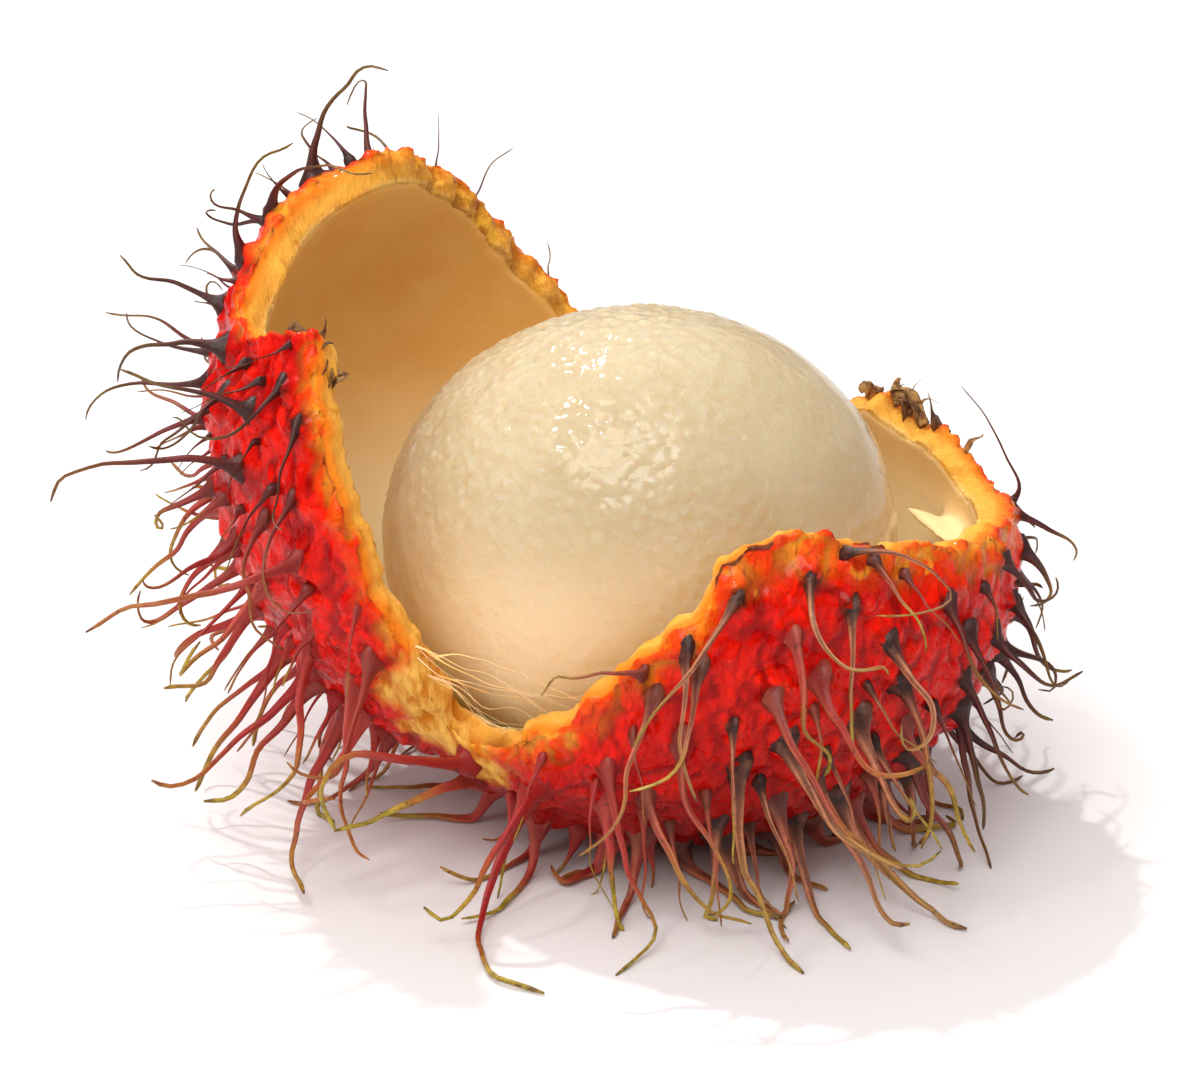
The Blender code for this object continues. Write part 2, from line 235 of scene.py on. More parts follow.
class Lobe:
    def __init__(self, shape, rim=((0, 180),)):
        self.centre = np.array(shape["centre"], float)
        self.semiAxes = np.array(shape["semiAxes"], float)
        third = unit(shape["pole"])
        first = unit(np.array(shape["up"]) - np.dot(shape["up"], third) * third)
        self.turn = np.column_stack([first, np.cross(third, first), third])
        self.grid = np.arange(0, 360.01, 0.1)
        self.edge = np.array([self.rimAt(theta, rim) for theta in self.grid])
        waves = rindShape["frayWaves"]
        self.ragged = self.edge + rindShape["fray"] * sum(
            np.sin(np.radians(n * self.grid) + 2.3 * n) / k for k, n in waves)

    def rimAt(self, theta, rim):
        theta %= 360
        stops = [*rim, (rim[0][0] + 360, rim[0][1])]
        if theta < stops[0][0]:
            theta += 360
        for (start, low), (end, high) in zip(stops, stops[1:]):
            if start <= theta <= end:
                base = low + (high - low) * smoothStep((theta - start) / (end - start))
        teeth = sum(math.sin(math.radians(n * theta) + 1.7 * n) for n in rindShape["tearWaves"])
        return base + rindShape["tearHeight"] * teeth / 2

    def rim(self, theta, ragged=False):
        return np.interp(np.mod(theta, 360), self.grid, self.ragged if ragged else self.edge)

    def point(self, theta, psi, depth=0.0):
        theta, psi = np.radians(theta), np.radians(psi)
        sphere = np.stack([np.sin(psi) * np.cos(theta), np.sin(psi) * np.sin(theta), np.cos(psi)], axis=-1)
        return self.centre + (sphere * (self.semiAxes - depth)) @ self.turn.T

    def normal(self, point):
        return unit(self.turn @ (((point - self.centre) @ self.turn) / self.semiAxes**2))

    def fill(self, points):
        return np.linalg.norm((points - self.centre) @ self.turn / self.semiAxes, axis=-1)

    def wallShare(self, points):
        # how far through the lobe's wall: 0 on the outer surface, 1 on the inner
        inner = (points - self.centre) @ self.turn / (self.semiAxes - rindShape["thickness"])
        outerGap = 1 - self.fill(points)
        return outerGap / np.maximum(outerGap + np.linalg.norm(inner, axis=-1) - 1, 0.02)

    def angles(self, points):
        local = (points - self.centre) @ self.turn / self.semiAxes
        size = np.linalg.norm(local, axis=-1)
        theta = np.degrees(np.arctan2(local[..., 1], local[..., 0])) % 360
        return theta, np.degrees(np.arccos(np.clip(local[..., 2] / size, -1, 1)))


cup = Lobe(rindShape["cup"], rindShape["cupRim"])
lid = Lobe(rindShape["lid"], rindShape["lidRim"])
arilLobe = Lobe(arilShape)


def newPiece(name, points, faces):
    mesh = bpy.data.meshes.new(name)
    mesh.from_pydata([tuple(p) for p in np.asarray(points) * mm], [], faces)
    mesh.validate()
    piece = bpy.data.objects.new(name, mesh)
    bpy.context.scene.collection.objects.link(piece)
    return piece


def pointsOf(piece):
    flat = np.empty(3 * len(piece.data.vertices))
    piece.data.vertices.foreach_get("co", flat)
    return flat.reshape(-1, 3) / mm


def setPoints(piece, points):
    piece.data.vertices.foreach_set("co", np.ravel(points * mm))
    piece.data.update()


def normalsOf(piece):
    flat = np.empty(3 * len(piece.data.vertices))
    piece.data.vertex_normals.foreach_get("vector", flat)
    return flat.reshape(-1, 3)


def store(piece, name, values):
    layer = piece.data.attributes.new(name, "FLOAT", "POINT")
    layer.data.foreach_set("value", np.asarray(values, np.float32))


def faceOutwards(piece):
    work = bmesh.new()
    work.from_mesh(piece.data)
    if work.calc_volume(signed=True) < 0:
        bmesh.ops.reverse_faces(work, faces=work.faces)
    work.to_mesh(piece.data)
    work.free()


def applyAll(piece):
    graph = bpy.context.evaluated_depsgraph_get()
    mesh = bpy.data.meshes.new_from_object(piece.evaluated_get(graph))
    piece.modifiers.clear()
    piece.data = mesh


def combine(piece, other, operation):
    change = piece.modifiers.new(operation, "BOOLEAN")
    change.operation = operation
    change.solver = "MANIFOLD"
    change.object = other
    applyAll(piece)
    bpy.data.objects.remove(other)


def smoothed(piece, points, rounds, amount=0.5):
    edges = np.empty(2 * len(piece.data.edges), np.int64)
    piece.data.edges.foreach_get("vertices", edges)
    a, b = edges.reshape(-1, 2).T
    count = np.bincount(np.r_[a, b], minlength=len(points))[:, None]
    for _ in range(rounds):
        total = np.zeros_like(points)
        np.add.at(total, a, points[b])
        np.add.at(total, b, points[a])
        points = points + amount * (total / count - points)
    return points


def stitch(rings, columns, start=0):
    # the four-sided faces between rings of points that follow one another from start
    faces = []
    for ring in range(rings - 1):
        low, high = start + ring * columns, start + (ring + 1) * columns
        for corner in range(columns):
            after = (corner + 1) % columns
            faces.append((low + corner, low + after, high + after, high + corner))
    return faces


# the spines follow the same rule as the solid model's, and are drawn finer
spineShape = {
    "seed": 20, "cupCount": 212, "lidCount": 178, "rootRadius": 0.8, "rootDepth": 1.1, "rootSpacing": 2.6,
    "floorGap": 0.15, "surfaceGap": 0.25, "restingReach": 0.7, "restingGap": 0.02, "steps": 40,
    "lengths": (6.0, 9.5), "sizes": (0.85, 1.15), "sway": 2.4, "hooks": (1.5, 9.0),
    "fineSeed": 8, "fineCount": 330, "fineSpacing": 1.9, "fineSizes": (0.35, 0.6),
    "curlSeed": 12, "curls": (0.4, 1.2, 2.4, 3.4), "curlLowest": 2.5, "curlHighest": 44,
    "colourSeed": 5,
}
# spines placed one by one: angle round the lobe, angle from its pole, size, and bends measured from the root
lidStragglers = (
    (356, 78, 1.1, ((0, 0, 2.5), (1, 0, 5), (3, -1, 7.5), (5, -2, 8))),
    (345, 72, 1, ((0.5, -0.5, 2.5), (3.5, -3, 4.5), (6, -4.5, 3), (7, -5, 3))),
    (334, 68, 0.9, ((-0.5, 0, 3), (1, 1, 6), (3, 2, 7))),
    (328, 58, 0.9, ((-3.5, 0, 1.5), (-5.5, 0, 2), (-6.5, 0, 3.5))),
    (311, 69, 1, ((-3, 0, 0.5), (-6, 1, -0.5), (-7, 2, -3))),
    (296, 80, 1, ((-3, -1, 1.5), (-5.5, -1, 2), (-8, -1, 3))),
    (287, 72, 1.1, ((-3, -1, 1), (-7, -2, 1), (-10.5, -2, 0.5), (-11.5, -2, -1.5))),
    (268, 83, 1.1, ((-3, -3, 0), (-8, -4, -1), (-10.5, -4, -1.5), (-13, -4, -3))),
    (258, 52, 1, ((-2, -1, -2.5), (-3.5, -1, -5), (-6, -1, -5.5))),
    (245, 52, 1.1, ((-2.5, -2, -3), (-5, -2, -6.5), (-6, -2, -9))),
    (237, 56, 1.1, ((-3.5, -2, -4), (-5, -2, -7), (-7, -2, -7.5))),
    (228, 60, 1.1, ((-2.5, -2, -4.5), (-3.5, -5.5, -7.5), (-2.5, -10, -8))),
)
cupStragglers = (
    (141, 56, 1.2, ((-3, -4, 0.5), (-6, -5, -0.5), (-8.5, -6, -1))),
    (138, 62, 1.2, ((-4, -4, 2), (-7, -5, 3), (-9, -5, 0.5), (-8, -5, -2.5))),
    (119, 61, 1.5, ((-2, -4, -0.5), (-4.5, -6, -4.5), (-6, -6, -6.5), (-7.5, -6, -5.5))),
    (126, 54, 1.4, ((-2, -3, -3), (-3, -6.5, -6), (-2.5, -12, -6), (1, -14.5, -6))),
    (105, 68, 1.1, ((1.5, -3, -5.5), (3, -4, -9), (0.5, -7.5, -10))),
    (99, 60, 1.1, ((2, -3, -3.5), (4, -3, -6.5), (6.5, -3, -7.5))),
    (76, 84, 1, ((1.5, -3, -2.5), (5, -4, -7.5), (8, -4, -9.5), (10.5, -4, -8.5))),
    (52, 81, 1, ((1.5, -2, -3), (2, -3, -7), (1.5, -3, -10))),
    (20, 58, 1, ((0.5, -1, -3.5), (1.5, -1, -7), (2, -4, -8.5))),
    (12, 72, 1, ((3, 0, -1), (3.5, 0, -3), (2.5, 0, -3))),
    (81, 105, 1, ((-2, -3, -2), (-4.5, -4, -5), (-6.5, -4, -8))),
)
# thin ones that the solid leaves out: a straw at the back, a curl over the aril, an arc in front
cupWisps = (
    (350, 100, 0.5, ((0.7, 0, 1.5), (-1, 0, 4.5), (-3.4, 0, 8))),
    (97, 91, 0.55, ((-1.2, -1, 0.7), (-3.2, -1.5, 0.5), (-5.2, -1.3, 0.7), (-6.1, -1.2, -0.8))),
    (60, 112, 0.5, (
        (2, -0.8, 0.5), (5, -0.6, -0.6), (6.6, -1, -2.4), (4.8, -1.8, -3.2), (1.8, -2.2, -3.3),
    )),
)


def pushOut(point, lobe, gap):
    reach = 1 + gap / lobe.semiAxes.mean()
    fill = lobe.fill(point)
    return point if fill > reach else lobe.centre + (point - lobe.centre) * reach / fill


def clearPoint(point, radius, lobes):
    for lobe in lobes:
        point = pushOut(point, lobe, radius + spineShape["surfaceGap"])
    return np.array((point[0], point[1], max(point[2], radius + spineShape["floorGap"])))


def thinRadius(size):
    return 0.45 * size * spineShape["rootRadius"]


def ruledLine(root, normal, length, lean, droop, curlAxis, bend, radius):
    line = [root - spineShape["rootDepth"] * normal, root]
    heading = unit(normal + lean)
    here = root.copy()
    steps = spineShape["steps"]
    for step in range(1, steps + 1):
        along = step / steps
        turn = bend["curve"] + bend["sway"] * math.sin(7 * along)
        turn = turn + bend["hook"] * smoothStep((along - 0.6) / 0.25)
        heading = unit(heading + turn / steps * np.cross(curlAxis, heading) - (0, 0, droop * along / steps))
        if step == bend["kinkStep"]:
            heading = unit(heading + bend["kink"] * np.cross(normal, heading))
        here = here + heading * length / steps
        here = clearPoint(here, radius, (cup, lid, arilLobe) if along > 0.15 else (arilLobe,))
        if step % 2 == 0:
            line.append(here.copy())
    return np.array(line)


def stragglerLine(root, normal, bends, radius):
    # a smooth curve through the root and the bends, which are measured from it
    knots = [root - 2 * normal, root, *(root + np.array(bend) for bend in bends)]
    knots.append(2 * knots[-1] - knots[-2])
    line = [root - spineShape["rootDepth"] * normal, root]
    for station in np.linspace(0, 1, 24)[1:]:
        place = station * len(bends)
        knot = min(int(place), len(bends) - 1)
        t = place - knot
        a, b, c, d = knots[knot:knot + 4]
        here = b + (c - a) * t / 2
        here = here + (2 * a - 5 * b + 4 * c - d) * t**2 / 2 + (3 * b - a - 3 * c + d) * t**3 / 2
        line.append(clearPoint(here, radius, (cup, lid, arilLobe) if station > 0.15 else (arilLobe,)))
    return np.array(line)


def spineRoots(lobe, other, count, taken, spacing, draw):
    for index in range(count):
        height = 1 - (1 + math.cos(math.radians(62))) * (index + 0.5) / count
        psi = math.degrees(math.acos(height)) + draw.uniform(-2.5, 2.5)
        theta = index * 137.508 + draw.uniform(-4, 4)
        root = lobe.point(theta, psi)
        spaced = all(np.linalg.norm(root - place) > spacing for place in taken)
        if psi < lobe.rim(theta) - 4 and other.fill(root) > 1.06 and root[2] > 0.9 and spaced:
            yield root


def ruledSpine(root, lobe, draw):
    # a spine by where it stands: the line, and its size at the root
    normal = lobe.normal(root)
    low = 1 - smoothStep((root[2] - 5) / 24)
    front = max(0.0, -normal[1])
    right = smoothStep((root[0] - 8) / 12)
    length = (draw.uniform(*spineShape["lengths"]) + 4.0 * low + 2.0 * front) * (1 - 0.32 * right)
    size = draw.uniform(*spineShape["sizes"]) * (0.72 + 0.5 * low)
    sideways = unit(np.cross(normal, (0.1, 0.2, 1)))
    lean = 0.45 * draw.uniform(-1, 1) * sideways
    lean = lean - np.array((0, 0, (0.2 + 0.9 * front + 0.35 * right) * smoothStep((root[2] - 2) / 5)))
    axis = unit(sideways + 1.1 * draw.uniform(-1, 1) * normal)
    side = draw.choice((-1, 1))
    bend = {
        "curve": side * draw.uniform(0.0, 0.6),
        "sway": draw.uniform(-spineShape["sway"], spineShape["sway"]),
        "hook": side * draw.uniform(*spineShape["hooks"]),
        "kink": draw.choice((0, 0, 0.8, -0.8)),
        "kinkStep": draw.randrange(14, 28),
    }
    droop = 0.4 + 1.6 * front + 1.2 * right
    return ruledLine(root, normal, length, lean, droop, axis, bend, thinRadius(size)), size


def placedSpines(lobe, stragglers):
    spines = []
    for theta, psi, size, bends in stragglers:
        root = lobe.point(theta, min(psi, lobe.rim(theta) - 3.5))
        spines.append((stragglerLine(root, lobe.normal(root), bends, thinRadius(size)), size))
    return spines


def curledTip(line, draw):
    # winds up the end of a spine, clear of the rind, the aril and the floor
    axis = Vector([draw.uniform(-1, 1) for _ in range(3)]).normalized()
    amount = draw.choice(spineShape["curls"]) * draw.choice((-1, 1))
    if line[0][2] < 8 or line[:, 2].min() < spineShape["curlLowest"]:
        return line
    steps = np.diff(line, axis=0)
    here = line[0]
    curled = [here]
    for index, step in enumerate(steps):
        turn = Quaternion(axis, amount * float(smoothStep((index / len(steps) - 0.45) / 0.55)))
        here = here + np.array(turn @ Vector(step))
        if index > 3:
            here = clearPoint(here, 0.3, (cup, lid, arilLobe))
        curled.append(here)
    curled = np.array(curled)
    return curled if curled[:, 2].max() < max(line[:, 2].max(), spineShape["curlHighest"]) else line


def mainSpines(lobe, other, count, stragglers, draw):
    spines = placedSpines(lobe, stragglers)
    roots = [line[1] for line, size in spines]
    for root in spineRoots(lobe, other, count, roots, spineShape["rootSpacing"], draw):
        spines.append(ruledSpine(root, lobe, draw))
    return spines


def fineSpines(lobe, other, spines, draw):
    # thin short spines in the gaps that the main ones leave
    roots = [line[1] for line, size in spines]
    found = []
    for root in spineRoots(lobe, other, spineShape["fineCount"], roots, spineShape["fineSpacing"], draw):
        line, size = ruledSpine(root, lobe, draw)
        found.append((line[:draw.randrange(8, 19)], size * draw.uniform(*spineShape["fineSizes"])))
    return found


def eased(line):
    # softens the elbows where a line was held off a surface
    for _ in range(3):
        line[3:-1] += 0.5 * ((line[2:-2] + line[4:]) / 2 - line[3:-1])
    return line


# how a tube is drawn: corners round it, rings along it, its breadth and its depth as shares of its radius
spineTube = {"sides": 10, "rings": 26, "breadth": 1.12, "depth": 0.74}
scrapTube = {"sides": 8, "rings": 14, "breadth": 1.7, "depth": 0.35}
hairTube = {"sides": 6, "rings": 24, "breadth": 1.2, "depth": 0.7}
tubeShape = {
    "thinnest": 0.145, "taper": 0.27, "taperPower": 1.9, "flare": 0.62, "flareLength": 0.6, "tipKnob": 0.03,
    "darkThinner": 0.30, "wave": 0.24, "waveSize": 1.8, "waist": 0.07, "groove": 0.13,
}


def tubeRadius(along, flare):
    radius = tubeShape["thinnest"] + tubeShape["taper"] * (1 - along) ** tubeShape["taperPower"]
    return radius + tubeShape["flare"] * flare + tubeShape["tipKnob"] * smoothStep((along - 0.93) / 0.04)


def tubes(name, spines, hues, draw, look=spineTube):
    # every spine as a closed tube: a broad flattened root, a grooved shaft and a blunt tip
    sides, rings = look["sides"], look["rings"]
    points, faces = [], []
    layers = {}
    angles = 2 * math.pi * np.arange(sides) / sides
    for line, size in spines:
        line = eased(line)
        steps = np.linalg.norm(np.diff(line, axis=0), axis=1)
        reach = np.r_[0, np.cumsum(steps)] - spineShape["rootDepth"]
        length = reach[-1]
        stations = reach[0] + np.linspace(0, 1, rings) ** 1.3 * (length - reach[0])
        path = np.stack([np.interp(stations, reach, line[:, k]) for k in range(3)], axis=1)
        along = np.clip(stations / length, 0, 1)
        flare = np.exp(-np.maximum(stations, 0) / tubeShape["flareLength"])
        push = softPush(path, tubeShape["waveSize"], 51)
        path += tubeShape["wave"] * smoothStep(along / 0.5)[:, None] * push
        blunt = 1 - 0.6 * smoothStep((along - 0.985) / 0.015)
        radius = tubeRadius(along, flare) * size * spineShape["rootRadius"] * blunt
        phase, twist, tone = draw.uniform(0, 6.28), draw.uniform(-4, 4), draw.uniform(0, 1)
        radius *= 1 + tubeShape["waist"] * np.sin(9 * along + phase)
        hue = hues(line[1], draw)
        radius *= 1 - tubeShape["darkThinner"] * hue["dark"] * (1 - flare)
        ahead = np.gradient(path, axis=0)
        side = np.array((0.3, 0.5, 0.8))
        start = len(points)
        shell = []
        for ring in range(rings):
            forward = unit(ahead[ring])
            side = unit(side - np.dot(side, forward) * forward)
            across = np.cross(forward, side)
            turned = angles + twist * along[ring]
            groove = tubeShape["groove"] * np.sin(3 * angles + phase) * (1 - 0.5 * flare[ring])
            reachOut = radius[ring] * (1 + groove)
            breadth = look["breadth"] + 0.18 * flare[ring]
            wide = (reachOut * breadth * np.cos(turned))[:, None] * side
            deep = (reachOut * look["depth"] * np.sin(turned))[:, None] * across
            shell.append(path[ring] + wide + deep)
            streak = 0.5 + 0.5 * np.sin(3 * angles + phase + 1.5 * math.sin(5 * along[ring] + tone))
            layers.setdefault("streak", []).extend(streak)
            for key, value in {"along": along[ring], "tone": tone, **hue}.items():
                layers.setdefault(key, []).extend([value] * sides)
        shell = np.array(shell)
        drop = shell[..., 2].min() - spineShape["restingGap"]
        if drop < spineShape["restingReach"]:
            shell[..., 2] -= drop * smoothStep(along / 0.3)[:, None]
        points.extend(shell.reshape(-1, 3))
        faces.extend(stitch(rings, sides, start))
        faces.append(tuple(start + sides - 1 - k for k in range(sides)))
        faces.append(tuple(start + (rings - 1) * sides + k for k in range(sides)))
    points = np.array(points)
    points[:, 2] = np.maximum(points[:, 2], spineShape["restingGap"])
    piece = newPiece(name, points, faces)
    for key, values in layers.items():
        store(piece, key, values)
    piece.data.shade_smooth()
    return piece


def spineHues(root, draw):
    # dark purple-brown high on the lid and at the cup's far right, red below, dry tan and olive in front
    x, y, z = root
    high = smoothStep((z - 17) / 14) * (x < 2)
    right = smoothStep((x - 11) / 7)
    dark = np.clip(max(high, right) + draw.uniform(-0.15, 0.1), 0, 1)
    front = smoothStep((-y - 2) / 8) * smoothStep((x + 6) / 8)
    tan = np.clip(front * draw.choice((0.25, 0.7, 0.9, 1.1)) + draw.uniform(0, 0.25), 0, 1) * (1 - dark)
    olive = np.clip(draw.choice((0.35, 0.7, 1.0)) * (1 - 0.7 * dark) + 0.1, 0, 1)
    olive += 0.8 * (-14 < x < -4 and y < -8 and 3 < z < 14)
    return {"dark": dark, "olive": olive, "tan": tan}


def scrapHues(root, draw):
    return {"dark": draw.uniform(0, 1)}


def hairHues(root, draw):
    return {"tan": draw.uniform(0, 1), "dark": 0.0}


# the scraps: tufts are an angle round the rim, how far out, depth in the wall, how many and how long
scrapShape = {
    "cupTufts": (
        (314, 111, 0.6, 2, 1.3), (319, 110, 0.5, 5, 2.0), (325, 108, 0.4, 3, 2.3), (334, 104, 0.4, 1, 1.4),
    ),
    "lidTufts": ((306, 95, 0.9, 5, 1.2), (304, 99, 1.3, 5, 1.4), (299, 100, 1.8, 3, 1.3)),
    "sizes": (0.2, 0.46), "curl": 3.4, "steps": 12,
}


def scraps(name, lobe, tufts, draw):
    # dried scraps of skin, standing up curled from the torn edge
    found = []
    steps = scrapShape["steps"]
    for theta, psi, depth, count, length in tufts:
        for _ in range(count):
            angle, rise = theta + draw.uniform(-3, 3), psi + draw.uniform(-1.5, 1.0)
            root = lobe.point(angle, rise, depth + draw.uniform(-0.5, 0.5))
            heading = unit(lobe.point(theta, psi + 20) - lobe.point(theta, psi)) + 0.5 * lobe.normal(root)
            heading = unit(heading + np.array([draw.uniform(-0.6, 0.6) for _ in range(3)]))
            curl = np.array([draw.uniform(-1, 1) for _ in range(3)]) * scrapShape["curl"]
            here = root.copy()
            line = [root - spineShape["rootDepth"] * heading, root]
            for _ in range(steps):
                heading = unit(heading + np.cross(curl, heading) / steps)
                here = here + heading * length * draw.uniform(0.7, 1.2) / steps
                line.append(here.copy())
            found.append((np.array(line), draw.uniform(*scrapShape["sizes"])))
    return tubes(name, found, scrapHues, draw, scrapTube)


draw = random.Random(spineShape["seed"])
cupLines = mainSpines(cup, lid, spineShape["cupCount"], cupStragglers, draw)
lidLines = mainSpines(lid, cup, spineShape["lidCount"], lidStragglers, draw)
curlDraw = random.Random(spineShape["curlSeed"])
for spines, byHand in ((cupLines, cupStragglers), (lidLines, lidStragglers)):
    for index in range(len(byHand), len(spines)):
        line, size = spines[index]
        spines[index] = (curledTip(line, curlDraw), size)
fineDraw = random.Random(spineShape["fineSeed"])
cupFine = fineSpines(cup, lid, cupLines, fineDraw)
lidFine = fineSpines(lid, cup, lidLines, fineDraw)
cupFine += placedSpines(cup, cupWisps)
colourDraw = random.Random(spineShape["colourSeed"])
cupSpines = tubes("cupSpines", cupLines + cupFine, spineHues, colourDraw)
lidSpines = tubes("lidSpines", lidLines + lidFine, spineHues, colourDraw)
cupScraps = scraps("cupRimShreds", cup, scrapShape["cupTufts"], fineDraw)
lidScraps = scraps("lidRimShreds", lid, scrapShape["lidTufts"], fineDraw)
print("spines:", len(cupLines), len(lidLines), "fine:", len(cupFine), len(lidFine))

# pairs are a dark and a light, or a first and a second, colour
spineLook = {
    "red": ((0.34, 0.012, 0.014), (0.60, 0.075, 0.060)),
    "tan": ((0.17, 0.050, 0.025), (0.56, 0.22, 0.11)),
    "dark": ((0.034, 0.008, 0.008), (0.14, 0.034, 0.024)),
    "tip": ((0.46, 0.34, 0.035), (0.24, 0.16, 0.012)),
    "spot": (0.10, 0.030, 0.018),
    "claw": (0.030, 0.009, 0.007),
    "end": (0.05, 0.012, 0.008),
    "roughness": 0.26,
    "specular": 0.35,
}


def spineSkin():
    shade = newShade("spineSkin")
    look = spineLook
    along = shade.stored("along")
    dark = shade.stored("dark")
    tan = shade.stored("tan")
    tone = shade.stored("tone")
    streak = shade.stored("streak")
    mottle = shade.noise(0.7, 3, 0.6)
    dry = mottle * 0.6 + streak * 0.5
    body = shade.mix(*look["red"], tone.ramp(0.2, 1.0) * dry)
    body = shade.mix(body, shade.mix(*look["tan"], dry.ramp(0.3, 0.85)), tan)
    body = shade.mix(body, shade.mix(*look["dark"], dry.ramp(0.35, 0.9)), dark)
    ripe = (along + tone * 0.3 - 0.15).ramp(0.32, 0.85) * shade.stored("olive")
    tip = shade.mix(*look["tip"], mottle.ramp(0.35, 0.65))
    body = shade.mix(body, tip, ripe * (mottle * 0.5 + 0.7).maths("MINIMUM", 1.0))
    body = shade.mix(body, look["spot"], shade.noise(0.45, 3, 0.6).ramp(0.60, 0.70) * 0.75)
    claw = (1 - along.ramp(0.04, 0.22)) * (tan * 1.1 + dark * 0.9).maths("MINIMUM", 1.0)
    body = shade.mix(body, look["claw"], claw * (mottle * 1.8).maths("MINIMUM", 1.0))
    body = shade.mix(body, look["end"], along.ramp(0.90, 1.0) * 0.7 * mottle.ramp(0.4, 0.6))
    return shade.finish({
        "Base Color": body,
        "Roughness": mottle * 0.3 + look["roughness"],
        "Specular IOR Level": look["specular"],
        "Normal": shade.bump(shade.noise(0.3, 3, 0.6) + streak * 0.6, 0.08, 0.8),
    })


scrapLook = {
    "brown": ((0.46, 0.25, 0.07), (0.12, 0.040, 0.014)),
    "dark": (0.045, 0.012, 0.007),
    "roughness": 0.4,
    "specular": 0.25,
}


def driedScrap():
    shade = newShade("driedScrap")
    crumb = shade.noise(0.5, 3, 0.6)
    colour = shade.mix(*scrapLook["brown"], crumb.ramp(0.35, 0.65))
    colour = shade.mix(colour, scrapLook["dark"], shade.stored("dark").ramp(0.5, 1.0) * 0.8)
    return shade.finish({
        "Base Color": colour,
        "Roughness": crumb * 0.3 + scrapLook["roughness"],
        "Specular IOR Level": scrapLook["specular"],
        "Normal": shade.bump(shade.noise(0.25, 3, 0.6), 0.08, 0.8),
    })


spineMaterial = spineSkin()
for piece in (cupSpines, lidSpines):
    piece.data.materials.append(spineMaterial)
scrapMaterial = driedScrap()
for piece in (cupScraps, lidScraps):
    piece.data.materials.append(scrapMaterial)


def capped(name, top, rings, bottom):
    # rings of points closed by a point at each end
    columns = len(rings[0])
    points = np.concatenate((top[None], *rings, bottom[None]))
    faces = stitch(len(rings), columns, 1)
    end = 1 + (len(rings) - 1) * columns
    for column in range(columns):
        after = (column + 1) % columns
        faces.append((0, 1 + after, 1 + column))
        faces.append((end + column, end + after, len(points) - 1))
    piece = newPiece(name, points, faces)
    faceOutwards(piece)
    return piece


def dome(name, lobe):
    # a lobe's surface from its pole to its rim, closed by the torn face running in to the centre
    columns, rows = rindShape["columns"], rindShape["rows"]
    first = rindShape["firstRing"]
    theta = np.arange(columns) * 360 / columns
    reach = lobe.rim(theta, True) - first
    rings = [lobe.point(theta, first + reach * row / (rows - 1)) for row in range(rows)]
    rings.append(lobe.centre + 0.7 * (rings[-1] - lobe.centre))
    return capped(name, lobe.point(0, 0), rings, lobe.centre)


def ellipsoid(name, lobe, grow, columns=96, rows=48):
    theta = np.arange(columns) * 360 / columns
    rings = [lobe.point(theta, np.full(columns, 180 * row / rows), -grow) for row in range(1, rows)]
    return capped(name, lobe.point(0, 0, -grow), rings, lobe.point(0, 180, -grow))


# the tongue of pith at the right, as stations along it and half its width at each
tongueShape = {
    "line": ((19.6, 2.4, 16.6), (18.4, 3.4, 17.3), (17.0, 4.3, 17.8), (15.8, 5.2, 18.2), (14.6, 6.0, 18.6)),
    "widths": (2.6, 2.3, 1.7, 1.0, 0.35),
    "thickness": 0.5,
    "sides": 16,
}


def tongue(name):
    line = np.array(tongueShape["line"])
    sides = tongueShape["sides"]
    ahead = np.gradient(line, axis=0)
    angle = 2 * math.pi * np.arange(sides)[:, None] / sides
    points = []
    for place, heading, width in zip(line, ahead, tongueShape["widths"]):
        forward = unit(heading)
        across = unit(np.cross(forward, (0.25, 0.1, 1)))
        upward = np.cross(across, forward)
        flat = tongueShape["thickness"] * min(1, width)
        points.extend(place + width * np.cos(angle) * across + flat * np.sin(angle) * upward)
    faces = stitch(len(line), sides)
    faces.append(tuple(reversed(range(sides))))
    faces.append(tuple(range(len(points) - sides, len(points))))
    piece = newPiece(name, points, faces)
    faceOutwards(piece)
    return piece


def floorBox(name):
    corners = ((-30, -30), (30, -30), (30, 30), (-30, 30))
    points = [(x, y, z) for z in (-5, 0) for x, y in corners]
    return newPiece(name, points, [*stitch(2, 4), (3, 2, 1, 0), (4, 5, 6, 7)])


def makeRind():
    rind = dome("rindSkin", cup)
    combine(rind, dome("wall", lid), "UNION")
    wall = rindShape["thickness"]
    for lobe, grow in ((cup, -wall), (lid, -wall), (arilLobe, arilShape["room"])):
        combine(rind, ellipsoid("hollow", lobe, grow), "DIFFERENCE")
    combine(rind, floorBox("floorCut"), "DIFFERENCE")
    combine(rind, tongue("flap"), "UNION")
    remesh = rind.modifiers.new("remesh", "REMESH")
    remesh.mode = "VOXEL"
    remesh.voxel_size = rindShape["voxel"] * mm
    applyAll(rind)
    rind.data.materials.clear()
    return rind


rind = makeRind()
setPoints(rind, smoothed(rind, pointsOf(rind), 3))

